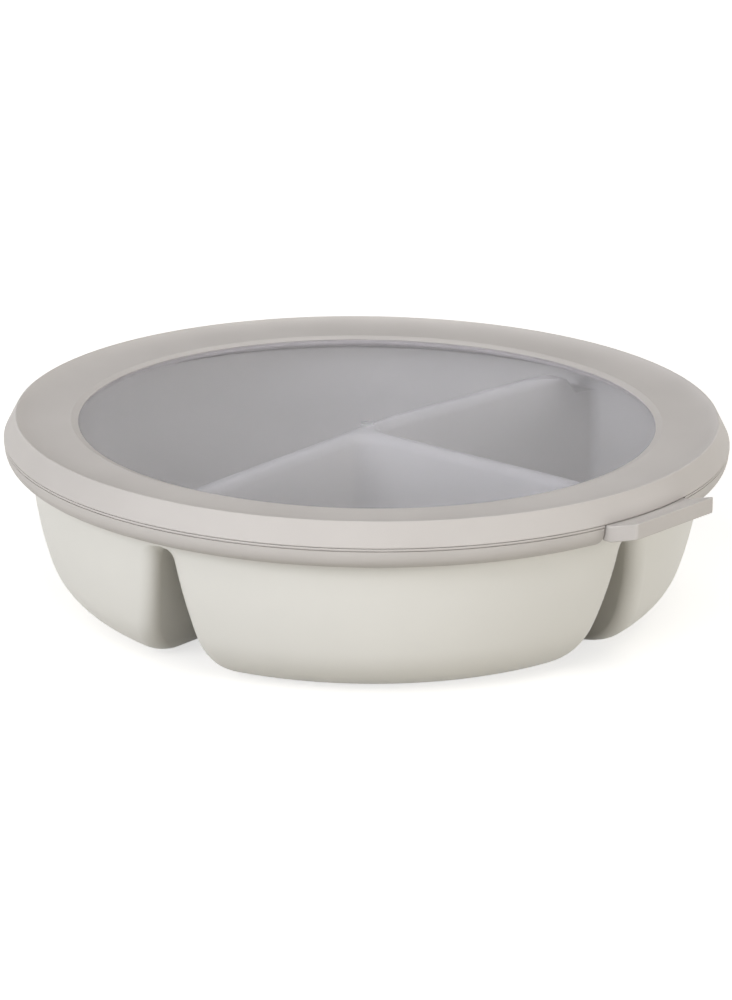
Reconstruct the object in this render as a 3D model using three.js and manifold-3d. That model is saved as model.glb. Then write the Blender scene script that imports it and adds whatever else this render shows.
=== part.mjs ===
// A round lunch bowl with three compartments and a soft-rimmed lid with a clear window.
// Millimetres, +Z up. The origin is the centre of the circle that the bowl stands in, at the table.

import * as THREE from 'three';
import { mergeVertices } from 'three/addons/utils/BufferGeometryUtils.js';
import Module from 'manifold-3d';

const wasm = await Module();
wasm.setup();

// Fits
const seatGap = 0.3; // between pieces that touch on the real lid and bowl
const slitGap = 0.45; // open slit on each side of the pull tab

// Bowl: overall sizes
const bowlHeight = 52; // table to brim
const wallRadius = 97.3; // outside of the wall under the brim
const wall = 2; // wall, flanks and floor
const wallCurveTop = 46.8; // the wall is plumb above this height and curves inwards below it
const wallCurveRadius = 103.8;
const baseFillet = 21.4; // from the curved wall to the flat underside

// Bowl: brim band that the lid's lip grips
const brimStep = 0.6; // brim band stands proud of the wall
const brimBandHeight = 8.2;
const brimWall = 1.9;
const brimRound = 0.8;

// Bowl: dividers, which are channels open to the table between the compartments
const dividerAngles = { left: -127.5, right: -40, back: 48 }; // degrees from +X, seen from above
const channelRoofHalfWidth = 2.9; // half the channel's width where its roof begins
const flankDraft = 10.6; // degrees that a compartment's side walls lean from plumb
const flankFillet = 4.2; // from a side wall to the underside
const cornerRadius = 5; // upright corners at the outer wall
const noseRadius = 9; // upright corner at the middle of the bowl
const noseWidest = 168; // degrees; a wider compartment has a plain corner at the middle
const ridgeDrop = 1.9; // ridge of a divider below the brim
const ridgeRound = 2.5;
const seatWidth = 8.7; // from the brim's inside to the foot of a ridge's sloped end, for the lid's plug
const ridgeEndRun = 7.6; // length of the sloped end along the ridge
const ridgeEndDrop = 7; // seat for the plug below the ridge

// Lid: window
const windowThickness = 1.1;
const windowWallFlare = 1.2; // the dish widens by this much from its floor to its flange
const flangeWidth = 6.3; // window's flange under the rim
const windowInset = 0.7; // window's wall inside the rim's inner edge
const windowRise = 1.5; // floor to flange
const gateRadius = 1.8; // moulded ring mark at the middle of the window
const gateRing = 0.9; // width of the ring
const gateHeight = 0.3;

// Lid: soft rim
const rimWidth = 21.3; // from the widest point, at the seam, to the rim's inner edge
const rimSkin = 0.7; // rim over the window's flange, at the inner edge
const bevelWidth = 2.2;
const bevelRise = 0.45;
const bandBatter = 3.1; // the crest lies this far inside the seam
const crestRise = 2.05; // crest above the rim's inner edge
const crestRound = 1.1;
const crestFillet = 3.3; // hollow round from the dished top up to the crest
const bandDrop = 6.7; // crest to seam
const skirtThickness = 2.2;
const plugThickness = 2.2;
const plugChamfer = 0.5;
const flangeSeatThickness = 1.3; // rim under the window's flange

// Lid: sealing lip under the seam
const lipReach = 6.8; // from the lip's inner edge to the seam
const lipDrop = 6.9; // seam to the lip's lower edge
const lipEdge = 1.9; // height of the lip's inner edge

// Lid: pull tab
const tabAzimuth = -42.3; // degrees from +X
const tabWidth = 34;
const tabReach = 9.2; // past the lid's widest radius
const tabRoot = 2.6; // under the rim
const tabThickness = 4.6;
const tabTilt = 16.5; // degrees that the free part rises
const tabEdge = 0.5; // chamfer on the tab's ends

// Facets
const lidSegments = 60;
const arcSteps = 12; // points along a quarter circle of a compartment's outer wall
const cornerSteps = 3;
const filletSteps = 6;
const wallSteps = 4;
const curveSteps = 5;

// Heights and radii that follow from the sizes above
const ridgeTop = bowlHeight - ridgeDrop;
const plugSeat = ridgeTop - ridgeEndDrop;
const brimRadius = wallRadius + brimStep;
const recessRadius = brimRadius - brimWall;
const windowUnderside = ridgeTop + seatGap;
const windowFloor = windowUnderside + windowThickness;
const flangeBottom = windowUnderside + windowRise;
const flangeTop = flangeBottom + windowThickness;
const rimEdge = flangeTop + seatGap + rimSkin;
const crestHeight = rimEdge + crestRise;
const seamHeight = crestHeight - bandDrop;
const lipTop = seamHeight - seatGap / 2;
const rimBottom = seamHeight + seatGap / 2;
const lipBottom = seamHeight - lipDrop;
const plugRadius = recessRadius - seatGap;
const ridgeFootRadius = recessRadius - seatWidth;
const ridgeEndRadius = ridgeFootRadius - ridgeEndRun;
const lipInnerRadius = brimRadius + seatGap;
const lidRadius = lipInnerRadius + lipReach;
const crestRadius = lidRadius - bandBatter;
const openingRadius = lidRadius - rimWidth;
const windowWallRadius = openingRadius - windowInset;
const windowFloorRadius = windowWallRadius - windowWallFlare;
const windowFlangeRadius = openingRadius + flangeWidth;

const degrees = THREE.MathUtils.degToRad;

function polar(radius, angle) {
  return new THREE.Vector2(radius * Math.cos(angle), radius * Math.sin(angle));
}

// Closed solid from a geometry whose vertices may be doubled.
function solid(geometry) {
  const bare = geometry.clone();
  bare.deleteAttribute('normal');
  bare.deleteAttribute('uv');
  const merged = mergeVertices(bare);
  const mesh = new wasm.Mesh({
    numProp: 3,
    vertProperties: new Float32Array(merged.attributes.position.array),
    triVerts: new Uint32Array(merged.index.array),
  });
  return new wasm.Manifold(mesh);
}

function geometryOf(manifold) {
  const mesh = manifold.getMesh();
  const geometry = new THREE.BufferGeometry();
  geometry.setAttribute('position', new THREE.BufferAttribute(mesh.vertProperties, 3));
  geometry.setIndex(new THREE.BufferAttribute(mesh.triVerts, 1));
  geometry.computeVertexNormals();
  return geometry;
}

// Solid of revolution about Z from a profile of radius and height, listed clockwise from the inside.
function turned(points) {
  const geometry = new THREE.LatheGeometry(points.slice().reverse(), lidSegments);
  geometry.rotateX(Math.PI / 2);
  return geometry;
}

// Closed skin over a stack of outlines that all have the same number of points.
function loft(outlines, heights) {
  const count = outlines[0].length;
  const positions = [];
  outlines.forEach((outline, level) => {
    outline.forEach((point) => positions.push(point.x, point.y, heights[level]));
  });
  const index = [];
  for (let level = 0; level < outlines.length - 1; level += 1) {
    for (let i = 0; i < count; i += 1) {
      const a = level * count + i;
      const b = level * count + ((i + 1) % count);
      index.push(a, b, b + count, a, b + count, a + count);
    }
  }
  const top = (outlines.length - 1) * count;
  THREE.ShapeUtils.triangulateShape(outlines[0], []).forEach(([a, b, c]) => index.push(a, c, b));
  THREE.ShapeUtils.triangulateShape(outlines.at(-1), []).forEach(([a, b, c]) => {
    index.push(top + a, top + b, top + c);
  });
  const geometry = new THREE.BufferGeometry();
  geometry.setAttribute('position', new THREE.Float32BufferAttribute(positions, 3));
  geometry.setIndex(index);
  return geometry;
}

function arcPoints(centre, radius, from, to, steps) {
  return Array.from({ length: steps + 1 }, (_, i) => {
    return polar(radius, from + ((to - from) * i) / steps).add(centre);
  });
}

// Outline of a compartment at one height: a slice of a disc, set back from the dividers' middle
// planes by flank, with round corners.
function sliceOutline(from, to, radius, flank) {
  const half = (to - from) / 2;
  const turn = Math.asin((flank + cornerRadius) / (radius - cornerRadius));
  const first = polar(radius - cornerRadius, from + turn);
  const last = polar(radius - cornerRadius, to - turn);
  const steps = Math.round((arcSteps * (to - from)) / (Math.PI / 2));
  const outer = arcPoints(new THREE.Vector2(), radius, from + turn, to - turn, steps).slice(1, -1);
  const nose = to - from < degrees(noseWidest) ? noseRadius : 0;
  const noseCentre = polar((flank + nose) / Math.sin(half), from + half);
  const noseArc = arcPoints(noseCentre, nose, to + Math.PI / 2, from + 1.5 * Math.PI, cornerSteps);
  return [
    ...arcPoints(first, cornerRadius, from - Math.PI / 2, from + turn, cornerSteps),
    ...outer,
    ...arcPoints(last, cornerRadius, to - turn, to + Math.PI / 2, cornerSteps),
    ...(nose > 0 ? noseArc : [noseCentre]),
  ];
}

// How far the round at the foot of a wall has come in at a height above its start.
function roundIn(height, radius) {
  const rest = Math.max(radius - height, 0);
  return radius - Math.sqrt(radius * radius - rest * rest);
}

// Angle below level at which the curved wall runs into the fillet at its foot.
const footLean = Math.asin((wallCurveTop - baseFillet) / (wallCurveRadius - baseFillet));

// Radius of the bowl's wall at a height, with the skin moved inwards by inset.
function wallRadiusAt(height, inset) {
  const foot = baseFillet - (baseFillet - inset) * Math.sin(footLean);
  const curveCentre = wallRadius - wallCurveRadius;
  if (height >= wallCurveTop) {
    return wallRadius - inset;
  }
  if (height >= foot) {
    return curveCentre + Math.sqrt((wallCurveRadius - inset) ** 2 - (wallCurveTop - height) ** 2);
  }
  const filletCentre = curveCentre + (wallCurveRadius - baseFillet) * Math.cos(footLean);
  return filletCentre + Math.sqrt(Math.max((baseFillet - inset) ** 2 - (baseFillet - height) ** 2, 0));
}

// Set-back of a compartment's side walls from the middle of the divider, outside and inside.
const channelRoof = plugSeat - wall;
const lean = Math.tan(degrees(flankDraft));
const flankWall = wall / Math.cos(degrees(flankDraft));

function outerFlank(height) {
  return channelRoofHalfWidth + (channelRoof - height) * lean + roundIn(height, flankFillet);
}

function innerFlank(height) {
  const plain = channelRoofHalfWidth + (channelRoof - height) * lean + flankWall;
  return plain + roundIn(height - wall, flankFillet) - roundIn(ridgeTop - height, ridgeRound);
}

// Heights of a wall's rings, closer together in the fillet at its foot.
function wallHeights(inset, top) {
  const radius = baseFillet - inset;
  const foot = baseFillet - radius * Math.sin(footLean);
  const fillet = Array.from({ length: filletSteps }, (_, i) => {
    const angle = Math.PI / 2 - ((Math.PI / 2 - footLean) * i) / filletSteps;
    return baseFillet - radius * Math.sin(angle);
  });
  const rest = Array.from({ length: wallSteps + 1 }, (_, i) => foot + ((top - foot) * i) / wallSteps);
  return [...fillet, ...rest];
}

function compartment(from, to) {
  const outerHeights = wallHeights(0, channelRoof);
  outerHeights.push(ridgeTop - wall / 2);
  const outer = outerHeights.map((z) => sliceOutline(from, to, wallRadiusAt(z, 0), outerFlank(z)));
  const innerHeights = wallHeights(wall, ridgeTop - ridgeRound);
  for (let i = 1; i <= cornerSteps; i += 1) {
    innerHeights.push(ridgeTop - ridgeRound * (1 - Math.sin((Math.PI / 2) * (i / cornerSteps))));
  }
  const inner = innerHeights.map((z) => sliceOutline(from, to, wallRadiusAt(z, wall), innerFlank(z)));
  innerHeights.push(bowlHeight);
  inner.push(inner.at(-1));
  return { outer: solid(loft(outer, outerHeights)), inner: solid(loft(inner, innerHeights)) };
}

// The deck carries the ridges and the brim, with the channels' roofs underneath.
function deck() {
  const ridgeRoof = ridgeTop - wall;
  const seatInside = ridgeFootRadius - wall;
  const bandBottom = bowlHeight - brimBandHeight;
  const profile = new THREE.Path();
  profile.moveTo(0, bowlHeight);
  profile.lineTo(brimRadius - brimRound, bowlHeight);
  profile.absarc(brimRadius - brimRound, bowlHeight - brimRound, brimRound, Math.PI / 2, 0, true);
  profile.lineTo(brimRadius, bandBottom);
  profile.lineTo(wallRadius, bandBottom);
  profile.lineTo(wallRadius, channelRoof);
  profile.lineTo(seatInside, channelRoof);
  profile.lineTo(seatInside - ridgeEndRun, ridgeRoof);
  profile.lineTo(0, ridgeRoof);
  return solid(turned(profile.getPoints(cornerSteps)));
}

// Room for the lid: above the ridges in the middle, and down to the plug's seat round the edge.
function lidRecess() {
  const above = bowlHeight + wall;
  const profile = [
    [0, above],
    [recessRadius, above],
    [recessRadius, plugSeat],
    [ridgeFootRadius, plugSeat],
    [ridgeEndRadius, ridgeTop],
    [0, ridgeTop],
  ];
  return solid(turned(profile.map(([r, z]) => new THREE.Vector2(r, z))));
}

function bowlGeometry() {
  const { left, right, back } = dividerAngles;
  const slices = [
    [left, right],
    [right, back],
    [back, left + 360],
  ].map(([from, to]) => compartment(degrees(from), degrees(to)));
  let body = deck();
  slices.forEach((slice) => {
    body = body.add(slice.outer);
  });
  slices.forEach((slice) => {
    body = body.subtract(slice.inner);
  });
  return geometryOf(body.subtract(lidRecess()));
}

// Clear dished window with a flange that the soft rim is moulded round.
function windowGeometry() {
  const profile = [
    [0, windowFloor],
    [gateRadius - gateRing, windowFloor],
    [gateRadius - gateRing / 2, windowFloor + gateHeight],
    [gateRadius, windowFloor],
    [windowFloorRadius, windowFloor],
    [windowWallRadius, flangeTop],
    [windowFlangeRadius, flangeTop],
    [windowFlangeRadius, flangeBottom],
    [windowWallRadius + windowThickness, flangeBottom],
    [windowFloorRadius + windowThickness, windowUnderside],
    [0, windowUnderside],
  ];
  return turned(profile.map(([r, z]) => new THREE.Vector2(r, z)));
}

// Soft rim: dished top, outer band, groove for the brim, plug inside the brim and slot for the window.
function rimGeometry() {
  const slotTop = flangeTop + seatGap;
  const slotBottom = flangeBottom - seatGap;
  const slotRadius = windowFlangeRadius + seatGap;
  const seatInside = windowWallRadius + windowThickness + seatGap;
  const seatBottom = slotBottom - flangeSeatThickness;
  const grooveTop = bowlHeight + seatGap;
  const grooveOuter = brimRadius + seatGap;
  const plugBottom = plugSeat + seatGap;
  const plugInner = plugRadius - plugThickness;
  const hollowTop = crestHeight - crestRise / 2 - skirtThickness;
  const bandStart = crestRadius + ((lidRadius - crestRadius) * crestRound) / bandDrop;
  const profile = new THREE.Path();
  profile.moveTo(openingRadius, rimEdge);
  profile.lineTo(openingRadius + bevelWidth, rimEdge + bevelRise);
  profile.quadraticCurveTo(
    crestRadius - crestFillet,
    rimEdge + bevelRise,
    crestRadius - crestRound,
    crestHeight,
  );
  profile.quadraticCurveTo(crestRadius, crestHeight, bandStart, crestHeight - crestRound);
  profile.lineTo(lidRadius, rimBottom);
  profile.lineTo(lidRadius - skirtThickness, rimBottom);
  profile.lineTo(crestRadius - skirtThickness, hollowTop);
  profile.lineTo(grooveOuter, hollowTop);
  profile.lineTo(grooveOuter, grooveTop);
  profile.lineTo(plugRadius, grooveTop);
  profile.lineTo(plugRadius, plugBottom + plugChamfer);
  profile.lineTo(plugRadius - plugChamfer, plugBottom);
  profile.lineTo(plugInner, plugBottom);
  profile.lineTo(plugInner, seatBottom);
  profile.lineTo(seatInside, seatBottom);
  profile.lineTo(seatInside, slotBottom);
  profile.lineTo(slotRadius, slotBottom);
  profile.lineTo(slotRadius, slotTop);
  profile.lineTo(openingRadius, slotTop);
  profile.lineTo(openingRadius, rimEdge);
  return turned(profile.getPoints(curveSteps));
}

// Sealing lip: curls in under the brim band, and is cut away where the pull tab hangs.
function lipGeometry() {
  const profile = new THREE.Path();
  profile.moveTo(lidRadius - skirtThickness, lipTop);
  profile.lineTo(lidRadius, lipTop);
  profile.quadraticCurveTo(lidRadius, lipBottom, lipInnerRadius, lipBottom);
  profile.lineTo(lipInnerRadius, lipBottom + lipEdge);
  profile.quadraticCurveTo(
    lidRadius - skirtThickness,
    lipBottom + lipEdge,
    lidRadius - skirtThickness,
    lipTop,
  );
  const notchWidth = tabWidth + 2 * slitGap;
  const notchHeight = 4 * lipDrop;
  const notch = new THREE.BoxGeometry(lidRadius, notchWidth, notchHeight);
  notch.translate(lidRadius, 0, lipTop);
  notch.rotateZ(degrees(tabAzimuth));
  const ring = solid(turned(profile.getPoints(curveSteps)));
  return geometryOf(ring.subtract(solid(notch)));
}

// Pull tab, with its root under the rim and its free part rising a little.
function tabGeometry() {
  const top = lipTop;
  const rise = tabReach * Math.tan(degrees(tabTilt));
  const bend = lidRadius + seatGap;
  const tip = lidRadius + tabReach;
  const section = new THREE.Shape();
  section.moveTo(lidRadius - tabRoot, top);
  section.lineTo(lidRadius - tabRoot, top - tabThickness);
  section.lineTo(bend, top - tabThickness);
  section.lineTo(tip, top - tabThickness + rise);
  section.lineTo(tip, top + rise);
  section.lineTo(bend, top);
  section.closePath();
  const geometry = new THREE.ExtrudeGeometry(section, {
    depth: tabWidth - 2 * tabEdge,
    bevelEnabled: true,
    bevelSize: tabEdge,
    bevelOffset: -tabEdge,
    bevelThickness: tabEdge,
    bevelSegments: 1,
  });
  geometry.rotateX(Math.PI / 2);
  geometry.translate(0, tabWidth / 2 - tabEdge, 0);
  return geometry;
}

// Finishes
const bowlPlastic = new THREE.MeshStandardMaterial({ color: '#dedbd2', roughness: 0.45, metalness: 0 });
const clearPlastic = new THREE.MeshStandardMaterial({
  color: '#d3d6da',
  roughness: 0.15,
  metalness: 0,
  transparent: true,
  opacity: 0.35,
});
const softRim = new THREE.MeshStandardMaterial({ color: '#c5bfb9', roughness: 0.75, metalness: 0 });
const softLip = softRim.clone();
const softTab = softRim.clone();

function piece(name, geometry, material) {
  const mesh = new THREE.Mesh(geometry, material);
  mesh.name = name;
  return mesh;
}

const bentoBowl = new THREE.Group();
bentoBowl.add(piece('bowl', bowlGeometry(), bowlPlastic));

const lid = new THREE.Group();
lid.add(piece('lid_window', windowGeometry(), clearPlastic));
lid.add(piece('lid_rim', rimGeometry(), softRim));
lid.add(piece('lid_lip', lipGeometry(), softLip));
bentoBowl.add(lid);

const tabMount = new THREE.Group();
tabMount.rotation.z = degrees(tabAzimuth);
tabMount.add(piece('pull_tab', tabGeometry(), softTab));
lid.add(tabMount);

export default bentoBowl;
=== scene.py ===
"""A round lunch bowl with three compartments and a soft-rimmed lid, dressed for a studio picture.

Sizes are in millimetres and become metres as the meshes are drawn. +Z is up, -Y faces the viewer.
"""

from __future__ import annotations

import logging
import math
from dataclasses import dataclass
from enum import Enum
from typing import NamedTuple

import bmesh
import bpy
from bmesh.types import BMEdge, BMesh, BMVert
from mathutils import Euler, Matrix, Quaternion, Vector


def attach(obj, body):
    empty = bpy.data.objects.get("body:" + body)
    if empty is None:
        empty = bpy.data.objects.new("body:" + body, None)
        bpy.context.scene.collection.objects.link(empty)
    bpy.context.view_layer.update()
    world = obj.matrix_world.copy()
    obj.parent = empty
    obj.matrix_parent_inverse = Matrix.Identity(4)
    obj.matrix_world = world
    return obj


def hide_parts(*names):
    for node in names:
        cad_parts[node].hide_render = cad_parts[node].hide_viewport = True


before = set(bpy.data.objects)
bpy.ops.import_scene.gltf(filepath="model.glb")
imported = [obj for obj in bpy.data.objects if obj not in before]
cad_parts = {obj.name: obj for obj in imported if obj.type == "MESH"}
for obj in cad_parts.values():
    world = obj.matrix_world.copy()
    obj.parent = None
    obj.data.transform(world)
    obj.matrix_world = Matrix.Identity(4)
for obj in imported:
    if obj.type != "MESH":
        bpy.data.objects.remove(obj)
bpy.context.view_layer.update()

log = logging.getLogger("lunch_bowl")

MM = 0.001
UP = Vector((0.0, 0.0, 1.0))
FULL_TURN = 2.0 * math.pi
QUARTER_TURN = math.pi / 2.0
WELD = 0.001 * MM
CUT_TOLERANCE = 0.0001 * MM
ROUND_STEPS = 6
NOISE_MIDDLE = (0.3, 0.7)
NOISE_ROUGHNESS = 0.55


class Body(Enum):
    """Moving bodies of the lunch bowl."""

    BOWL = "bowl"
    LID = "lid"
    TAB = "tab"


class Slot(Enum):
    """Material slots of the record."""

    BOWL = "bowl_plastic"
    WINDOW = "clear_window"
    RIM = "soft_rim"
    LIP = "soft_lip"
    TAB = "soft_tab"


class Cut(Enum):
    """Ways to combine two closed bodies."""

    JOIN = "UNION"
    TAKE = "DIFFERENCE"


def polar(radius: float, angle: float, height: float = 0.0) -> Vector:
    """Return the point at a radius and angle about Z, at a height."""
    return Vector((radius * math.cos(angle), radius * math.sin(angle), height))


def linear(hex_colour: str) -> tuple[float, float, float, float]:
    """Turn a written screen colour into a shader colour.

    Args:
        hex_colour: Red, green and blue as six hex digits.

    Returns:
        Linear red, green, blue and an alpha of 1.
    """
    parts = [int(hex_colour[i : i + 2], 16) / 255.0 for i in (0, 2, 4)]
    toe, slope, offset, power = 0.04045, 12.92, 0.055, 2.4
    low = [p / slope if p <= toe else ((p + offset) / (1.0 + offset)) ** power for p in parts]
    return (low[0], low[1], low[2], 1.0)


class Nodes:
    """Small helper that builds one material's node tree."""

    def __init__(self, name: str) -> None:
        """Start an empty material of this name."""
        self.material = bpy.data.materials.new(name)
        self.material.use_nodes = True
        self.tree = self.material.node_tree
        self.tree.nodes.clear()

    def add(self, kind: str, **values: object) -> bpy.types.Node:
        """Add a node.

        Args:
            kind: Blender's name of the node type.
            values: Attributes, or inputs by name with spaces as underscores.

        Returns:
            The new node.
        """
        node = self.tree.nodes.new(kind)
        for key, value in values.items():
            if hasattr(node, key):
                setattr(node, key, value)
            else:
                node.inputs[key.replace("_", " ")].default_value = value
        return node

    def join(self, source: bpy.types.NodeSocket, target: bpy.types.NodeSocket) -> None:
        """Link an output to an input."""
        self.tree.links.new(source, target)

    def grain(self, size: float, detail: float) -> bpy.types.Node:
        """Add a noise on object coordinates.

        Args:
            size: About how many millimetres its lumps are across.
            detail: How many finer layers it has.

        Returns:
            The noise node.
        """
        spot = self.add("ShaderNodeTexCoord")
        noise = self.add("ShaderNodeTexNoise", Scale=1.0 / (size * MM), Detail=detail)
        noise.inputs["Roughness"].default_value = NOISE_ROUGHNESS
        self.join(spot.outputs["Object"], noise.inputs["Vector"])
        return noise

    def spread(self, source: bpy.types.NodeSocket, low: float, high: float) -> bpy.types.NodeSocket:
        """Map a noise's middle range onto other values.

        Args:
            source: The noise.
            low: Value at the bottom of its middle range.
            high: Value at the top of it.

        Returns:
            The mapped value.
        """
        start, end = NOISE_MIDDLE
        ranged = self.add("ShaderNodeMapRange", From_Min=start, From_Max=end, To_Min=low, To_Max=high)
        self.join(source, ranged.inputs["Value"])
        return ranged.outputs["Result"]

    def tones(self, source: bpy.types.NodeSocket, dark: str, pale: str) -> bpy.types.NodeSocket:
        """Map a noise's middle range onto two close colours.

        Args:
            source: The noise.
            dark: Written colour at the bottom of its middle range.
            pale: Written colour at the top of it.

        Returns:
            The mapped colour.
        """
        ramp = self.add("ShaderNodeValToRGB")
        for element, position, colour in zip(ramp.color_ramp.elements, NOISE_MIDDLE, (dark, pale)):
            element.position = position
            element.color = linear(colour)
        self.join(source, ramp.inputs["Fac"])
        return ramp.outputs["Color"]

    def finish(self, shader: bpy.types.Node) -> bpy.types.Material:
        """Link a shader to the output and return the material."""
        output = self.add("ShaderNodeOutputMaterial")
        self.join(shader.outputs[0], output.inputs["Surface"])
        return self.material


@dataclass(frozen=True)
class MouldedFinish:
    """Opaque moulded surface with a faint uneven tone and a fine grain."""

    name: str
    dark: str
    pale: str
    roughness: tuple[float, float]
    tone_size: float
    grain_size: float
    grain_depth: float
    ior: float = 1.46
    gloss: float = 0.35
    tone_detail: float = 2.0
    grain_detail: float = 3.0

    def material(self) -> bpy.types.Material:
        """Build the finish's material.

        Returns:
            The material.
        """
        nodes = Nodes(self.name)
        shader = nodes.add("ShaderNodeBsdfPrincipled", IOR=self.ior, Specular_IOR_Level=self.gloss)
        cloud = nodes.grain(self.tone_size, self.tone_detail)
        speck = nodes.grain(self.grain_size, self.grain_detail)
        nodes.join(nodes.tones(cloud.outputs["Fac"], self.dark, self.pale), shader.inputs["Base Color"])
        nodes.join(nodes.spread(cloud.outputs["Fac"], *self.roughness), shader.inputs["Roughness"])
        bump = nodes.add("ShaderNodeBump", Strength=1.0, Distance=self.grain_depth * MM)
        nodes.join(speck.outputs["Fac"], bump.inputs["Height"])
        nodes.join(bump.outputs["Normal"], shader.inputs["Normal"])
        return nodes.finish(shader)


@dataclass(frozen=True)
class ClearFinish:
    """Clear moulded sheet that lets lamps through to what lies behind it."""

    name: str
    tint: str
    roughness: float
    haze: float
    ior: float = 1.49

    def material(self) -> bpy.types.Material:
        """Build the finish's material.

        Returns:
            The material.
        """
        nodes = Nodes(self.name)
        shader = nodes.add("ShaderNodeBsdfPrincipled", IOR=self.ior, Base_Color=linear(self.tint))
        shader.inputs["Roughness"].default_value = self.roughness
        shader.inputs["Transmission Weight"].default_value = 1.0 - self.haze
        passing = nodes.add("ShaderNodeBsdfTransparent", Color=linear(self.tint))
        path = nodes.add("ShaderNodeLightPath")
        mixed = nodes.add("ShaderNodeMixShader")
        nodes.join(path.outputs["Is Shadow Ray"], mixed.inputs[0])
        nodes.join(shader.outputs[0], mixed.inputs[1])
        nodes.join(passing.outputs[0], mixed.inputs[2])
        return nodes.finish(mixed)


Finish = MouldedFinish | ClearFinish

BOWL_SATIN = MouldedFinish("bowl_satin", "e8e6e0", "ebe9e3", (0.42, 0.5), 30.0, 0.5, 0.01)
BOWL_POLISH = MouldedFinish("bowl_polish", "e8e6e0", "ebe9e3", (0.2, 0.26), 30.0, 0.8, 0.004)
SOFT_GREY = MouldedFinish("soft_touch_grey", "c9c4c0", "cdc8c4", (0.52, 0.62), 24.0, 0.35, 0.03)
CLEAR_SHEET = ClearFinish("clear_sheet", "ebebef", 0.01, 0.09)
FROSTED_MARK = ClearFinish("frosted_mark", "f0f0f2", 0.3, 0.35)


def place(name: str, bm: BMesh) -> bpy.types.Object:
    """Turn a drawn mesh into an object of the scene.

    Args:
        name: Name of the new object.
        bm: Closed mesh, which is freed.

    Returns:
        The object, at the origin.
    """
    bmesh.ops.remove_doubles(bm, verts=bm.verts, dist=WELD)
    bmesh.ops.recalc_face_normals(bm, faces=bm.faces)
    mesh = bpy.data.meshes.new(name)
    bm.to_mesh(mesh)
    bm.free()
    piece = bpy.data.objects.new(name, mesh)
    bpy.context.scene.collection.objects.link(piece)
    return piece


def smooth(piece: bpy.types.Object, crease: float = 35.0) -> None:
    """Shade a piece smoothly.

    Args:
        piece: The finished piece.
        crease: Angle in degrees past which an edge stays crisp.
    """
    piece.data.shade_smooth()
    piece.data.set_sharp_from_angle(angle=math.radians(crease))
    weighted = piece.modifiers.new("even_normals", "WEIGHTED_NORMAL")
    weighted.keep_sharp = True


def combine(body: bpy.types.Object, other: bpy.types.Object, cut: Cut) -> None:
    """Join another closed body to a body, or take it away from it.

    Args:
        body: The body that is changed.
        other: The body that is used up.
        cut: How they are combined.
    """
    step = body.modifiers.new("combine", "BOOLEAN")
    step.object = other
    step.operation = cut.value
    step.solver = "MANIFOLD"
    ready = body.evaluated_get(bpy.context.evaluated_depsgraph_get())
    made = bpy.data.meshes.new_from_object(ready)
    body.modifiers.remove(step)
    body.data = made
    bpy.data.objects.remove(other)


def give_slots(piece: bpy.types.Object, count: int, used: int) -> bpy.types.Object:
    """Give a piece empty material slots and put all its faces in one of them.

    Args:
        piece: A piece with no material slots.
        count: How many slots it gets.
        used: The slot that its faces use.

    Returns:
        The same piece.
    """
    for _ in range(count):
        piece.data.materials.append(None)
    piece.data.polygons.foreach_set("material_index", [used] * len(piece.data.polygons))
    return piece


def hand_over(piece: bpy.types.Object, finishes: tuple[Finish, ...], node: str) -> None:
    """Dress a finished piece and let it stand for its solid.

    Args:
        piece: The finished piece, with an empty material slot for each finish.
        finishes: The finishes of its material slots.
        node: The solid that it stands for.
    """
    for index, finish in enumerate(finishes):
        piece.data.materials[index] = finish.material()
    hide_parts(node)
    log.info("%s stands for %s in %s", piece.name, node, finishes[0].name)


class Corner(NamedTuple):
    """A point of a section, with the set-back that rounds it off."""

    radius: float
    height: float
    round: float = 0.0


def curve(start: Corner, pull: Corner, end: Corner, steps: int) -> list[Corner]:
    """Draw a curve through a section.

    Args:
        start: Its first point.
        pull: The point that it leans towards.
        end: Its last point.
        steps: Steps along it.

    Returns:
        Its points, with both ends.
    """
    points = []
    for i in range(steps + 1):
        t = i / steps
        keep = (1.0 - t) ** 2, 2.0 * t * (1.0 - t), t * t
        radius = keep[0] * start.radius + keep[1] * pull.radius + keep[2] * end.radius
        height = keep[0] * start.height + keep[1] * pull.height + keep[2] * end.height
        points.append(Corner(radius, height))
    return points


def draw_section(bm: BMesh, corners: list[Corner]) -> list[BMEdge]:
    """Draw a closed section in the XZ plane with its corners rounded.

    Args:
        bm: An empty mesh.
        corners: The section's corners in order.

    Returns:
        The section's edges.
    """
    drawn = [bm.verts.new((c.radius * MM, 0.0, c.height * MM)) for c in corners]
    bm.faces.new(drawn)
    for size in sorted({c.round for c in corners if c.round > 0.0}):
        bmesh.ops.bevel(
            bm,
            geom=[v for v, c in zip(drawn, corners) if c.round == size],
            offset=size * MM,
            affect="VERTICES",
            segments=ROUND_STEPS,
            profile=0.5,
            material=-1,
        )
    bmesh.ops.delete(bm, geom=bm.faces[:], context="FACES_ONLY")
    return bm.edges[:]


def turn(corners: list[Corner], steps: int, start: float = 0.0, angle: float = FULL_TURN) -> BMesh:
    """Spin a closed section about Z.

    Args:
        corners: The section's corners in order.
        steps: Steps round the turn.
        start: Azimuth at which the turn starts.
        angle: How far it goes round.

    Returns:
        The turned mesh, open at its ends unless the turn is full.
    """
    bm = bmesh.new()
    edges = draw_section(bm, corners)
    bmesh.ops.rotate(bm, verts=bm.verts, cent=(0, 0, 0), matrix=Matrix.Rotation(start, 3, "Z"))
    bmesh.ops.spin(
        bm,
        geom=bm.verts[:] + edges,
        cent=(0, 0, 0),
        axis=UP,
        angle=angle,
        steps=steps,
        use_merge=angle == FULL_TURN,
    )
    return bm


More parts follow.
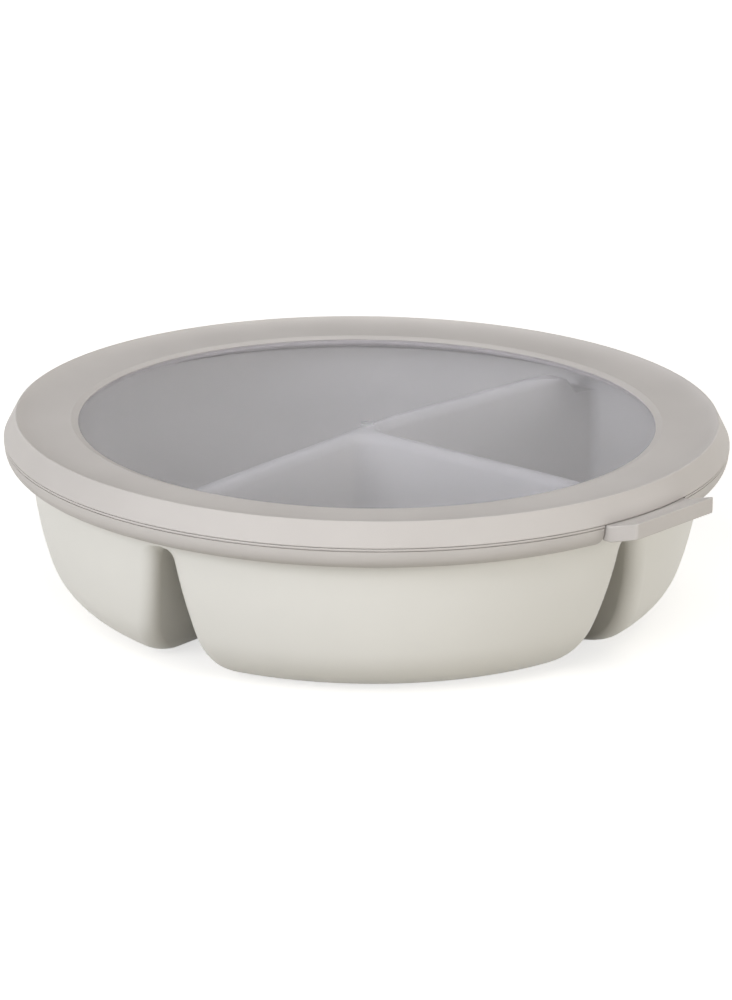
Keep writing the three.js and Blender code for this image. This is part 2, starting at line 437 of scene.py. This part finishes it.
class Pen:
    """Draws a closed chain of edges at one height, with straight stretches and arcs."""

    def __init__(self, start: Vector) -> None:
        """Put the pen down at a point in millimetres."""
        self.bm = bmesh.new()
        self.first = self.bm.verts.new(start * MM)
        self.tip = self.first

    def line(self, end: Vector) -> None:
        """Draw a straight stretch to a point in millimetres."""
        self.tip = bmesh.ops.extrude_vert_indiv(self.bm, verts=[self.tip])["verts"][0]
        self.tip.co = end * MM

    def arc(self, centre: Vector, angle: float, steps: int) -> None:
        """Draw an arc about a centre in millimetres."""
        grown = bmesh.ops.spin(
            self.bm, geom=[self.tip], cent=centre * MM, axis=UP, angle=angle, steps=steps
        )
        self.tip = next(g for g in grown["geom_last"] if isinstance(g, BMVert))

    def close(self, target: BMesh) -> list[BMEdge]:
        """Draw the last stretch back to the start and hand over the loop.

        Args:
            target: The mesh that the loop is copied into.

        Returns:
            The loop's edges there.
        """
        self.bm.edges.new((self.tip, self.first))
        sheet = bpy.data.meshes.new("outline")
        self.bm.to_mesh(sheet)
        self.bm.free()
        before = len(target.edges)
        target.from_mesh(sheet)
        bpy.data.meshes.remove(sheet)
        return target.edges[before:]


@dataclass
class Fits:
    """Sizes that the bowl and the lid share."""

    gap: float = 0.3
    bowl_height: float = 52.0
    wall_radius: float = 97.3
    brim_step: float = 0.6
    brim_wall: float = 1.9
    ridge_drop: float = 1.9
    ridge_end_drop: float = 7.0

    @property
    def brim_radius(self) -> float:
        """Outside of the brim band."""
        return self.wall_radius + self.brim_step

    @property
    def recess_radius(self) -> float:
        """Inside of the brim."""
        return self.brim_radius - self.brim_wall

    @property
    def ridge_top(self) -> float:
        """Height of the dividers' ridges."""
        return self.bowl_height - self.ridge_drop

    @property
    def plug_seat(self) -> float:
        """Height of the ledge under the lid's plug."""
        return self.ridge_top - self.ridge_end_drop


class Divider(NamedTuple):
    """A channel between two compartments, with the ridge over it.

    Its angle is in degrees. Shifts go to the left, seen from the middle. The mouth has its own shifts
    at the roof and at the foot, and may be wider at the foot.
    """

    angle: float
    shift: float = 0.0
    mouth_top: float = 0.0
    mouth_foot: float = 0.0
    foot_spread: float = 0.0

    @property
    def turn(self) -> float:
        """Angle in radians."""
        return math.radians(self.angle)

    def mouth_side(self, share: float, side: float) -> float:
        """Work out how far a side of the mouth is set back from its plain place.

        Args:
            share: How far up the channel, from 0 at the foot to 1 at the roof.
            side: 1 for the side on the left, -1 for the one on the right.

        Returns:
            The set-back.
        """
        lean = self.mouth_foot + (self.mouth_top - self.mouth_foot) * share
        return self.foot_spread * (1.0 - share) + side * (self.shift + lean)


class Ring(NamedTuple):
    """Sizes of a compartment's outline at one height."""

    height: float
    radius: float
    flank: float
    mouth: float
    corner: float


@dataclass
class Bowl:
    """One moulding: three compartments, the channels between them and the brim."""

    fits: Fits
    wall: float = 2.0
    curve_top: float = 46.8
    curve_radius: float = 103.8
    base_fillet: float = 21.4
    brim_band: float = 8.2
    brim_round: float = 0.8
    dividers: tuple[Divider, ...] = (
        Divider(-127.5, 0.0, 3.4, 0.25, 1.6),
        Divider(-38.5, -2.5, -0.75, -0.75),
        Divider(44.5, 2.0),
    )
    roof_half_width: float = 2.6
    roof_round: float = 3.6
    roof_drop: float = 0.8
    mouth_pinch: float = 0.65
    flank_draft: float = 9.6
    flank_fillet: float = 4.2
    corner_radius: float = 4.5
    nose_radius: float = 6.0
    nose_widest: float = 168.0
    lean_power: int = 3
    ridge_round: float = 2.5
    ridge_end_round: float = 0.9
    ridge_end_run: float = 3.5
    crest_run: float = 18.0
    crest_fall: float = 1.6
    roof_end_run: float = 7.6
    seat_width: float = 8.7
    brim_recess: float = 4.6
    brim_chamfer: float = 0.5
    mouth_run: float = 12.0
    mouth_inset: float = 0.3
    skin_inset: float = 0.1
    recess_slope: float = 0.6
    band_round: float = 0.15
    roof_edge: float = 0.5
    roof_bend: float = 1.0
    recess_round: float = 0.3
    seat_round: float = 0.8
    turn_steps: int = 240
    corner_steps: int = 8
    fillet_steps: int = 14
    wall_steps: int = 8

    def __post_init__(self) -> None:
        """Work out what follows from the sizes."""
        self.roof = self.fits.plug_seat - self.wall - self.roof_drop
        self.lean = math.tan(math.radians(self.flank_draft))
        self.flank_wall = self.wall / math.cos(math.radians(self.flank_draft))
        rise = self.curve_top - self.base_fillet
        self.foot_lean = math.asin(rise / (self.curve_radius - self.base_fillet))
        self.ridge_foot = self.fits.recess_radius - self.seat_width
        self.ridge_end = self.ridge_foot - self.ridge_end_run

    def wall_radius_at(self, height: float, inset: float) -> float:
        """Work out the radius of the wall, which is upright, curved and then rounded at its foot.

        Args:
            height: Height above the table.
            inset: How far the skin lies inside the outer wall.

        Returns:
            The radius.
        """
        fillet = self.base_fillet - inset
        foot = self.base_fillet - fillet * math.sin(self.foot_lean)
        centre = self.fits.wall_radius - self.curve_radius
        if height >= self.curve_top:
            return self.fits.wall_radius - inset
        if height >= foot:
            drop = self.curve_top - height
            return centre + math.sqrt((self.curve_radius - inset) ** 2 - drop**2)
        fillet_centre = centre + (self.curve_radius - self.base_fillet) * math.cos(self.foot_lean)
        reach = max(fillet**2 - (self.base_fillet - height) ** 2, 0.0)
        return fillet_centre + math.sqrt(reach)

    @staticmethod
    def round_in(height: float, radius: float) -> float:
        """Return how far a round of this radius comes in, at a height above the wall's end."""
        rest = min(max(radius - height, 0.0), radius)
        return radius - math.sqrt(radius * radius - rest * rest)

    def outside(self, height: float) -> Ring:
        """Work out a compartment's outside, which flares at the channel's mouth up to the roof.

        Args:
            height: Height of the outline.

        Returns:
            Its sizes.
        """
        plain = self.roof_half_width + (self.roof - height) * self.lean
        flank = plain + self.round_in(height, self.flank_fillet)
        mouth = max(flank, self.roof_half_width) - self.mouth_pinch
        mouth -= self.round_in(self.roof - height, self.roof_round)
        return Ring(height, self.wall_radius_at(height, 0.0), flank, mouth, self.corner_radius)

    def inside(self, height: float) -> Ring:
        """Work out a compartment's inside, which flares into the ridges at its top.

        Args:
            height: Height of the outline.

        Returns:
            Its sizes.
        """
        plain = self.roof_half_width + (self.roof - height) * self.lean + self.flank_wall
        foot = self.round_in(height - self.wall, self.flank_fillet)
        flank = plain + foot - self.round_in(self.fits.ridge_top - height, self.ridge_round)
        corner = self.corner_radius - self.wall
        return Ring(height, self.wall_radius_at(height, self.wall), flank, flank, corner)

    def heights(self, inset: float, top: float, top_round: float) -> list[float]:
        """Heights of a wall's rings, closer together in its fillet and in the round at its top.

        Args:
            inset: How far the skin lies inside the outer wall.
            top: Height of the last ring.
            top_round: Radius of the round below the last ring.

        Returns:
            The heights from the floor up.
        """
        radius = self.base_fillet - inset
        foot = self.base_fillet - radius * math.sin(self.foot_lean)
        sweep = QUARTER_TURN - self.foot_lean
        fillet = [
            self.base_fillet - radius * math.sin(QUARTER_TURN - sweep * i / self.fillet_steps)
            for i in range(self.fillet_steps)
        ]
        shoulder = top - top_round
        plain = [foot + (shoulder - foot) * i / self.wall_steps for i in range(self.wall_steps)]
        rounded = [
            shoulder + top_round * math.sin(QUARTER_TURN * i / self.corner_steps)
            for i in range(self.corner_steps + 1)
        ]
        return fillet + plain + rounded

    def draw_slice(self, bm: BMesh, start: Divider, end: Divider, ring: Ring) -> list[BMEdge]:
        """Draw a compartment's outline at one height: a slice of a disc with round corners.

        Args:
            bm: The mesh to draw in.
            start: The divider that it starts at.
            end: The divider that it ends at.
            ring: Sizes at this height.

        Returns:
            The outline's edges.
        """
        corner = ring.corner
        reach = ring.radius - corner
        share = 1.0 - max(1.0 - ring.height / self.roof, 0.0) ** self.lean_power
        first_turn = math.asin((ring.mouth + start.mouth_side(share, 1.0) + corner) / reach)
        last_turn = math.asin((ring.mouth + end.mouth_side(share, -1.0) + corner) / reach)
        first = polar(reach, start.turn + first_turn, ring.height)
        last = polar(reach, end.turn - last_turn, ring.height)
        sweep = end.turn - start.turn
        outer = sweep - first_turn - last_turn

        def along_start(distance: float, set_back: float) -> Vector:
            """Return the point on the first flank at a distance along its divider."""
            side = polar(set_back + start.shift, start.turn + QUARTER_TURN)
            return polar(distance, start.turn, ring.height) + side

        def along_end(distance: float, set_back: float) -> Vector:
            """Return the point on the last flank at a distance along its divider."""
            side = polar(set_back - end.shift, end.turn - QUARTER_TURN)
            return polar(distance, end.turn, ring.height) + side

        pen = Pen(first + polar(corner, start.turn - QUARTER_TURN))
        pen.arc(first, first_turn + QUARTER_TURN, self.corner_steps)
        pen.arc(UP * ring.height, outer, round(self.turn_steps * sweep / FULL_TURN))
        pen.arc(last, last_turn + QUARTER_TURN, self.corner_steps)
        pen.line(along_end(reach * math.cos(last_turn) - self.mouth_run, ring.flank))
        nose = self.nose_radius if math.degrees(sweep) < self.nose_widest else 0.0
        along_first = polar(ring.flank - end.shift + nose, start.turn)
        along_last = polar(ring.flank + start.shift + nose, end.turn)
        centre = (along_first + along_last) / math.sin(sweep)
        centre.z = ring.height
        pen.line(centre + polar(nose, end.turn + QUARTER_TURN))
        if nose > 0.0:
            pen.arc(centre, math.pi - sweep, self.corner_steps)
        pen.line(along_start(reach * math.cos(first_turn) - self.mouth_run, ring.flank))
        return pen.close(bm)

    def loft(self, name: str, start: Divider, end: Divider, rings: list[Ring]) -> bpy.types.Object:
        """Draw a compartment's outside or inside as a closed body.

        Args:
            name: Name of the body.
            start: The divider that it starts at.
            end: The divider that it ends at.
            rings: Sizes at its heights, from the bottom up.

        Returns:
            The closed body.
        """
        bm = bmesh.new()
        loops = [self.draw_slice(bm, start, end, ring) for ring in rings]
        for low, high in zip(loops, loops[1:]):
            bmesh.ops.bridge_loops(bm, edges=low + high)
        bmesh.ops.edgeloop_fill(bm, edges=loops[0])
        bmesh.ops.edgeloop_fill(bm, edges=loops[-1])
        return place(name, bm)

    def deck(self) -> bpy.types.Object:
        """Draw the body that carries the ridges and the brim, over the channels.

        Returns:
            The closed body.
        """
        band_bottom = self.fits.bowl_height - self.brim_band
        ridge_roof = self.fits.ridge_top - self.wall
        mouth_radius = self.wall_radius_at(self.roof, 0.0) - self.mouth_inset
        roof_end = self.ridge_foot - self.wall
        section = [
            Corner(0.0, self.fits.bowl_height),
            Corner(self.fits.brim_radius, self.fits.bowl_height, self.brim_round),
            Corner(self.fits.brim_radius, band_bottom, self.band_round),
            Corner(mouth_radius, band_bottom),
            Corner(mouth_radius, self.roof, self.roof_edge),
            Corner(roof_end, self.roof, self.roof_bend),
            Corner(roof_end - self.roof_end_run, ridge_roof, self.roof_bend),
            Corner(0.0, ridge_roof),
        ]
        return place("deck", turn(section, self.turn_steps))

    def recess(self) -> bpy.types.Object:
        """Draw the room for the lid: over the ridges, and down to the plug's seat round the edge.

        Returns:
            The closed body.
        """
        above = self.fits.bowl_height + self.wall
        lead_in = self.fits.recess_radius + self.brim_chamfer
        step = self.fits.bowl_height - self.brim_recess
        skin = self.wall_radius_at(self.fits.plug_seat, self.wall) - self.skin_inset
        crest_end = self.fits.ridge_top - self.crest_fall
        crest = curve(
            Corner(self.ridge_end, crest_end),
            Corner(self.ridge_end - self.crest_run / 2.0, self.fits.ridge_top),
            Corner(self.ridge_end - self.crest_run, self.fits.ridge_top),
            self.corner_steps,
        )
        crest[0] = crest[0]._replace(round=self.ridge_end_round)
        section = [
            Corner(0.0, above),
            Corner(lead_in, above),
            Corner(lead_in, self.fits.bowl_height),
            Corner(self.fits.recess_radius, self.fits.bowl_height - self.brim_chamfer, self.recess_round),
            Corner(self.fits.recess_radius, step, self.recess_round),
            Corner(skin, step - self.recess_slope, self.recess_round),
            Corner(skin, self.fits.plug_seat, self.seat_round),
            Corner(self.ridge_foot, self.fits.plug_seat, self.seat_round),
            *crest,
            Corner(0.0, self.fits.ridge_top),
        ]
        return place("recess", turn(section, self.turn_steps))

    def build(self) -> bpy.types.Object:
        """Build the bowl's mesh and dress it.

        Returns:
            The finished piece.
        """
        first = self.dividers[0]
        ends = (*self.dividers[1:], first._replace(angle=first.angle + 360.0))
        slices = list(zip(self.dividers, ends))
        outer = [self.outside(z) for z in self.heights(0.0, self.roof, self.roof_round)]
        outer.append(self.outside(self.fits.ridge_top - self.wall / 2.0))
        inner = [self.inside(z) for z in self.heights(self.wall, self.fits.ridge_top, self.ridge_round)]
        inner.append(inner[-1]._replace(height=self.fits.bowl_height))
        body = give_slots(self.deck(), 2, 0)
        for start, end in slices:
            combine(body, give_slots(self.loft("outside", start, end, outer), 2, 0), Cut.JOIN)
        for start, end in slices:
            combine(body, give_slots(self.loft("inside", start, end, inner), 2, 1), Cut.TAKE)
        combine(body, give_slots(self.recess(), 2, 1), Cut.TAKE)
        body.name = "bowl_moulding"
        smooth(body)
        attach(body, Body.BOWL.value)
        hand_over(body, (BOWL_SATIN, BOWL_POLISH), "bowl")
        return body


@dataclass
class Lid:
    """Clear window, soft rim and sealing lip, all turned about Z."""

    fits: Fits
    mould_gap: float = 0.02
    window_thickness: float = 1.1
    window_recess: float = 0.15
    window_drop: float = 1.6
    border_width: float = 32.0
    border_inset: float = 0.15
    border_round: float = 20.0
    rim_rise: float = 1.7
    flange_width: float = 6.3
    gate_radius: float = 1.8
    gate_ring: float = 0.9
    gate_height: float = 0.08
    rim_width: float = 21.3
    bevel_width: float = 2.0
    bevel_rise: float = 0.6
    dish_drop: float = 0.7
    band_batter: float = 3.1
    crest_rise: float = 2.35
    crest_flat: float = 0.5
    seam_gap: float = 0.16
    crest_fillet: float = 3.3
    band_drop: float = 6.7
    skirt: float = 2.2
    plug: float = 2.2
    plug_chamfer: float = 0.5
    plug_reach: float = 2.3
    flange_seat: float = 1.4
    seat_inset: float = 0.5
    lip_reach: float = 6.8
    lip_drop: float = 6.9
    lip_edge: float = 1.9
    bead_height: float = 0.6
    bead_proud: float = 0.12
    bead_groove: float = 0.45
    bead_groove_width: float = 0.25
    rim_bead_round: float = 0.12
    lip_bead_round: float = 0.15
    gate_foot_round: float = 0.15
    opening_round: float = 0.25
    bevel_round: float = 0.1
    crest_round: float = 0.3
    hollow_round: float = 0.4
    inside_round: float = 0.3
    seat_bend: float = 0.5
    fine_round: float = 0.2
    tab_azimuth: float = -42.3
    tab_width: float = 34.0
    slit: float = 0.45
    cut_spare: float = 3.0
    turn_steps: int = 256
    curve_steps: int = 14

    def __post_init__(self) -> None:
        """Work out the radii and heights that follow from the sizes."""
        self.radius = self.fits.brim_radius + self.fits.gap + self.lip_reach
        self.opening = self.radius - self.rim_width
        self.crest = self.radius - self.band_batter
        self.rim_edge = self.fits.bowl_height + self.rim_rise
        self.window_top = self.rim_edge - self.window_recess
        self.window_underside = self.window_top - self.window_thickness
        self.crest_height = self.rim_edge + self.crest_rise
        self.seam = self.crest_height - self.band_drop
        self.lip_top = self.seam - self.seam_gap / 2.0
        self.azimuth = math.radians(self.tab_azimuth)

    def window(self) -> bpy.types.Object:
        """Build the clear window: flat middle with a ring mark, sloped border, edge in the rim's slot.

        Returns:
            The finished piece.
        """
        edge = self.opening + self.flange_width
        border_end = self.opening - self.border_inset
        border_start = border_end - self.border_width
        pane = self.window_top - self.window_drop
        pane_underside = pane - self.window_thickness
        border_slope = math.atan2(self.window_drop, self.border_width)
        skew = self.window_thickness * math.tan(border_slope / 2.0)
        ring_middle = self.gate_radius - self.gate_ring / 2.0
        section = [
            Corner(0.0, pane),
            Corner(self.gate_radius - self.gate_ring, pane, self.gate_foot_round),
            Corner(ring_middle, pane + self.gate_height, self.fine_round),
            Corner(self.gate_radius, pane, self.gate_foot_round),
            Corner(border_start, pane, self.border_round),
            Corner(border_end, self.window_top, self.border_round / 2.0),
            Corner(edge, self.window_top, self.fine_round),
            Corner(edge, self.window_underside, self.fine_round),
            Corner(border_end + skew, self.window_underside, self.border_round / 2.0),
            Corner(border_start + skew, pane_underside, self.border_round),
            Corner(0.0, pane_underside),
        ]
        piece = give_slots(place("window_sheet", turn(section, self.turn_steps)), 2, 0)
        for face in piece.data.polygons:
            if face.center.xy.length < self.gate_radius * MM:
                face.material_index = 1
        smooth(piece)
        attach(piece, Body.LID.value)
        hand_over(piece, (CLEAR_SHEET, FROSTED_MARK), "lid_window")
        return piece

    def rim(self) -> bpy.types.Object:
        """Build the soft rim: dished top, outer band, groove for the brim, plug and window slot.

        Returns:
            The finished piece.
        """
        slot_top = self.window_top + self.mould_gap
        slot_bottom = self.window_underside - self.mould_gap
        slot_end = self.opening + self.flange_width + self.mould_gap
        seat_inside = self.opening + self.seat_inset
        seat_bottom = self.window_underside - self.flange_seat
        groove_top = self.fits.bowl_height + self.fits.gap
        groove_outer = self.fits.brim_radius + self.fits.gap
        plug_outer = self.fits.recess_radius - self.fits.gap
        plug_bottom = self.fits.ridge_top - self.plug_reach
        plug_inner = plug_outer - self.plug
        hollow_top = self.crest_height - self.crest_rise / 2.0 - self.skirt
        bottom = self.seam + self.seam_gap / 2.0
        bead_edge = self.radius + self.bead_proud
        bevel_end = Corner(self.opening + self.bevel_width, self.rim_edge + self.bevel_rise)
        dish = curve(
            bevel_end,
            Corner(self.crest - self.crest_fillet, self.rim_edge + self.bevel_rise - self.dish_drop),
            Corner(self.crest - self.crest_flat, self.crest_height),
            self.curve_steps,
        )
        dish[0] = dish[0]._replace(round=self.bevel_round)
        section = [
            Corner(self.opening, self.rim_edge, self.opening_round),
            *dish,
            Corner(self.crest, self.crest_height, self.crest_round),
            Corner(self.radius, bottom + self.bead_height),
            Corner(bead_edge, bottom + self.bead_height / 2.0, self.rim_bead_round),
            Corner(bead_edge, bottom, self.rim_bead_round),
            Corner(self.radius - self.skirt, bottom, self.fine_round),
            Corner(self.crest - self.skirt, hollow_top, self.hollow_round),
            Corner(groove_outer, hollow_top, self.inside_round),
            Corner(groove_outer, groove_top, self.fine_round),
            Corner(plug_outer, groove_top, self.fine_round),
            Corner(plug_outer, plug_bottom, self.plug_chamfer),
            Corner(plug_inner, plug_bottom, self.plug_chamfer),
            Corner(plug_inner, seat_bottom, self.seat_bend),
            Corner(seat_inside, seat_bottom, self.inside_round),
            Corner(seat_inside, slot_bottom, self.fine_round),
            Corner(slot_end, slot_bottom),
            Corner(slot_end, slot_top),
            Corner(self.opening, slot_top),
        ]
        piece = give_slots(place("soft_rim_ring", turn(section, self.turn_steps)), 1, 0)
        smooth(piece)
        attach(piece, Body.LID.value)
        hand_over(piece, (SOFT_GREY,), "lid_rim")
        return piece

    def lip(self) -> bpy.types.Object:
        """Build the sealing lip with the bead along its seam, cut away where the pull tab hangs.

        Returns:
            The finished piece.
        """
        bottom = self.seam - self.lip_drop
        inner = self.radius - self.lip_reach
        skirt_inner = self.radius - self.skirt
        bead_edge = self.radius + self.bead_proud
        bead_bottom = self.lip_top - self.bead_height
        groove = self.radius - self.bead_groove
        groove_bottom = bead_bottom - self.bead_groove_width
        outside = curve(
            Corner(self.radius, groove_bottom),
            Corner(self.radius, bottom),
            Corner(inner, bottom),
            self.curve_steps,
        )
        inside = curve(
            Corner(inner, bottom + self.lip_edge),
            Corner(skirt_inner, bottom + self.lip_edge),
            Corner(skirt_inner, self.lip_top),
            self.curve_steps,
        )
        section = [
            *inside,
            Corner(bead_edge, self.lip_top, self.lip_bead_round),
            Corner(bead_edge, bead_bottom, self.lip_bead_round),
            Corner(groove, bead_bottom),
            Corner(groove, groove_bottom),
            *outside,
        ]
        spare = math.radians(self.cut_spare)
        bm = turn(section, self.turn_steps, self.azimuth + spare, FULL_TURN - 2.0 * spare)
        along = polar(1.0, self.azimuth)
        across = polar(1.0, self.azimuth + QUARTER_TURN)
        for side in (1.0, -1.0):
            near = {v for v in bm.verts if v.co.dot(along) > 0.0 and v.co.dot(across) * side > 0.0}
            bmesh.ops.bisect_plane(
                bm,
                geom=list(near)
                + [e for e in bm.edges if near.issuperset(e.verts)]
                + [f for f in bm.faces if near.issuperset(f.verts)],
                dist=CUT_TOLERANCE,
                plane_co=across * side * (self.tab_width / 2.0 + self.slit) * MM,
                plane_no=across * side,
                clear_inner=True,
            )
        bmesh.ops.holes_fill(bm, edges=[e for e in bm.edges if e.is_boundary])
        piece = give_slots(place("sealing_lip", bm), 1, 0)
        smooth(piece)
        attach(piece, Body.LID.value)
        hand_over(piece, (SOFT_GREY,), "lid_lip")
        return piece

    def build(self) -> None:
        """Build the lid's three pieces."""
        self.window()
        self.rim()
        self.lip()


@dataclass
class PullTab:
    """Soft tab that hangs from the rim in the lip's cut."""

    lid: Lid
    reach: float = 9.2
    root: float = 2.6
    thickness: float = 4.6
    tilt: float = 16.5
    edge_round: float = 0.35
    front_round: float = 1.0
    tip_margin: float = 0.1
    upright_least: float = 1.0
    sharp_angle: float = 30.0
    crease: float = 40.0
    round_steps: int = 4

    def build(self) -> bpy.types.Object:
        """Build the tab's mesh and dress it.

        Returns:
            The finished piece.
        """
        lid = self.lid
        top = lid.lip_top
        rise = self.reach * math.tan(math.radians(self.tilt))
        bend = lid.radius + lid.fits.gap
        tip = lid.radius + self.reach
        inner = lid.radius - self.root
        outline = [
            (inner, top),
            (inner, top - self.thickness),
            (bend, top - self.thickness),
            (tip, top - self.thickness + rise),
            (tip, top + rise),
            (bend, top),
        ]
        half = lid.tab_width / 2.0
        bm = bmesh.new()
        side = bm.faces.new([bm.verts.new((x * MM, -half * MM, z * MM)) for x, z in outline])
        grown = bmesh.ops.extrude_face_region(bm, geom=[side], use_keep_orig=True)
        moved = [g for g in grown["geom"] if isinstance(g, BMVert)]
        bmesh.ops.translate(bm, verts=moved, vec=(0.0, lid.tab_width * MM, 0.0))
        bmesh.ops.recalc_face_normals(bm, faces=bm.faces)
        uprights = [
            e
            for e in bm.edges
            if all(v.co.x > (tip - self.tip_margin) * MM for v in e.verts)
            and abs(e.verts[0].co.z - e.verts[1].co.z) > self.upright_least * MM
        ]
        least = math.radians(self.sharp_angle)
        for edges, size in ((uprights, self.front_round), (None, self.edge_round)):
            sharp = edges or [e for e in bm.edges if e.is_manifold and e.calc_face_angle() > least]
            bmesh.ops.bevel(
                bm,
                geom=sharp,
                offset=size * MM,
                affect="EDGES",
                segments=self.round_steps,
                profile=0.5,
                material=-1,
            )
        bmesh.ops.rotate(bm, verts=bm.verts, cent=(0, 0, 0), matrix=Matrix.Rotation(lid.azimuth, 3, "Z"))
        piece = give_slots(place("soft_pull_tab", bm), 1, 0)
        smooth(piece, self.crease)
        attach(piece, Body.TAB.value)
        hand_over(piece, (SOFT_GREY,), "pull_tab")
        return piece


@dataclass(frozen=True)
class Lamp:
    """A soft square lamp that faces the bowl from a direction."""

    name: str
    azimuth: float
    elevation: float
    watts: float
    colour: tuple[float, float, float]
    distance: float = 1.6
    size: float = 0.9

    def build(self) -> None:
        """Hang the lamp."""
        data = bpy.data.lights.new(self.name, "AREA")
        data.size = self.size
        data.energy = self.watts
        data.color = self.colour
        lamp = bpy.data.objects.new(self.name, data)
        rise = math.radians(self.elevation)
        level = self.distance * math.cos(rise)
        lamp.location = polar(level, math.radians(self.azimuth), self.distance * math.sin(rise))
        lamp.rotation_mode = "QUATERNION"
        lamp.rotation_quaternion = (-lamp.location).to_track_quat("-Z", "Y")
        bpy.context.scene.collection.objects.link(lamp)


LAMPS = (
    Lamp("left_low", -136.0, 21.0, 16.3, (0.945, 0.965, 1.0)),
    Lamp("left_high", -165.0, 50.0, 3.6, (1.0, 0.97, 0.9)),
    Lamp("front_high", -90.0, 52.0, 5.4, (0.98, 0.98, 1.0)),
    Lamp("right_low", -35.0, 11.0, 13.4, (1.0, 0.99, 0.96)),
    Lamp("right_high", 0.0, 60.0, 5.0, (1.0, 0.97, 0.91)),
    Lamp("behind", 90.0, 58.0, 2.8, (0.86, 0.9, 1.0)),
    Lamp("back_right", 62.0, 12.0, 4.0, (1.0, 0.99, 0.97), size=0.5),
    Lamp("back_left", 118.0, 12.0, 4.0, (1.0, 0.99, 0.97), size=0.5),
)


@dataclass
class Studio:
    """White floor, soft lamps and the camera at the photograph's angle."""

    camera_place: tuple[float, float, float] = (0.0, -1110.8, 393.4)
    look_down: float = 18.18
    roll: float = 0.7
    lens: float = 144.0
    sensor: float = 36.0
    view_depth: float = 100.0
    floor_size: float = 30.0
    floor_drop: float = 0.1
    floor_tone: tuple[float, float, float] = (0.61, 0.595, 0.565)
    floor_glow: float = 0.66
    glow_start: float = 350.0
    glow_end: float = 1000.0
    floor_bounce: tuple[float, float, float] = (0.46, 0.44, 0.395)
    sky: float = 0.0

    def camera(self) -> None:
        """Set up the camera."""
        data = bpy.data.cameras.new("viewer")
        data.lens = self.lens
        data.sensor_width = self.sensor
        data.clip_end = self.view_depth
        viewer = bpy.data.objects.new("viewer", data)
        viewer.location = Vector(self.camera_place) * MM
        viewer.rotation_mode = "QUATERNION"
        level = Euler((math.radians(90.0 - self.look_down), 0.0, 0.0)).to_quaternion()
        viewer.rotation_quaternion = level @ Quaternion(UP, math.radians(self.roll))
        bpy.context.scene.collection.objects.link(viewer)
        bpy.context.scene.camera = viewer

    def floor(self) -> None:
        """Lay the floor, which is white to the eye apart from the bowl's shadow."""
        bm = bmesh.new()
        bmesh.ops.create_grid(bm, x_segments=1, y_segments=1, size=self.floor_size / 2.0)
        bmesh.ops.translate(bm, verts=bm.verts, vec=(0.0, 0.0, -self.floor_drop * MM))
        floor = place("studio_floor", bm)
        nodes = Nodes("floor_white")
        matt = nodes.add("ShaderNodeBsdfDiffuse", Color=(*self.floor_tone, 1.0))
        glow = nodes.add("ShaderNodeEmission")
        nodes.join(self.glow(nodes), glow.inputs["Strength"])
        seen = nodes.add("ShaderNodeAddShader")
        nodes.join(matt.outputs[0], seen.inputs[0])
        nodes.join(glow.outputs[0], seen.inputs[1])
        bounce = nodes.add("ShaderNodeBsdfDiffuse", Color=(*self.floor_bounce, 1.0))
        mixed = nodes.add("ShaderNodeMixShader")
        nodes.join(self.sight(nodes), mixed.inputs[0])
        nodes.join(bounce.outputs[0], mixed.inputs[1])
        nodes.join(seen.outputs[0], mixed.inputs[2])
        floor.data.materials.append(nodes.finish(mixed))

    def glow(self, nodes: Nodes) -> bpy.types.NodeSocket:
        """Make the floor's glow, which grows to white away from the bowl and its shadow.

        Args:
            nodes: The floor's material.

        Returns:
            The strength of the glow.
        """
        spot = nodes.add("ShaderNodeTexCoord")
        distance = nodes.add("ShaderNodeVectorMath", operation="LENGTH")
        nodes.join(spot.outputs["Object"], distance.inputs[0])
        fade = nodes.add("ShaderNodeMapRange", To_Min=self.floor_glow, To_Max=1.0)
        fade.inputs["From Min"].default_value = self.glow_start * MM
        fade.inputs["From Max"].default_value = self.glow_end * MM
        nodes.join(distance.outputs["Value"], fade.inputs["Value"])
        return fade.outputs["Result"]

    @staticmethod
    def sight(nodes: Nodes) -> bpy.types.NodeSocket:
        """Tell rays of sight from other rays.

        Args:
            nodes: The floor's material.

        Returns:
            1 for rays from the camera, off gloss or through the window, and 0 for others.
        """
        path = nodes.add("ShaderNodeLightPath")
        first = nodes.add("ShaderNodeMath", operation="MAXIMUM")
        nodes.join(path.outputs["Is Camera Ray"], first.inputs[0])
        nodes.join(path.outputs["Is Glossy Ray"], first.inputs[1])
        second = nodes.add("ShaderNodeMath", operation="MAXIMUM")
        nodes.join(first.outputs[0], second.inputs[0])
        nodes.join(path.outputs["Is Transmission Ray"], second.inputs[1])
        return second.outputs[0]

    def air(self) -> None:
        """Fill the room with even light, or with none."""
        world = bpy.data.worlds.new("studio")
        world.use_nodes = True
        background = world.node_tree.nodes["Background"]
        background.inputs["Color"].default_value = (1.0, 1.0, 1.0, 1.0)
        background.inputs["Strength"].default_value = self.sky
        bpy.context.scene.world = world

    def build(self) -> None:
        """Build the whole studio."""
        bpy.context.scene.view_settings.view_transform = "Standard"
        self.camera()
        self.floor()
        self.air()
        for lamp in LAMPS:
            lamp.build()


def main() -> None:
    """Build the studio and the lunch bowl, piece by piece."""
    logging.basicConfig(level=logging.INFO, format="%(name)s: %(message)s")
    Studio().build()
    fits = Fits()
    Bowl(fits).build()
    lid = Lid(fits)
    lid.build()
    PullTab(lid).build()


if __name__ == "__main__":
    main()
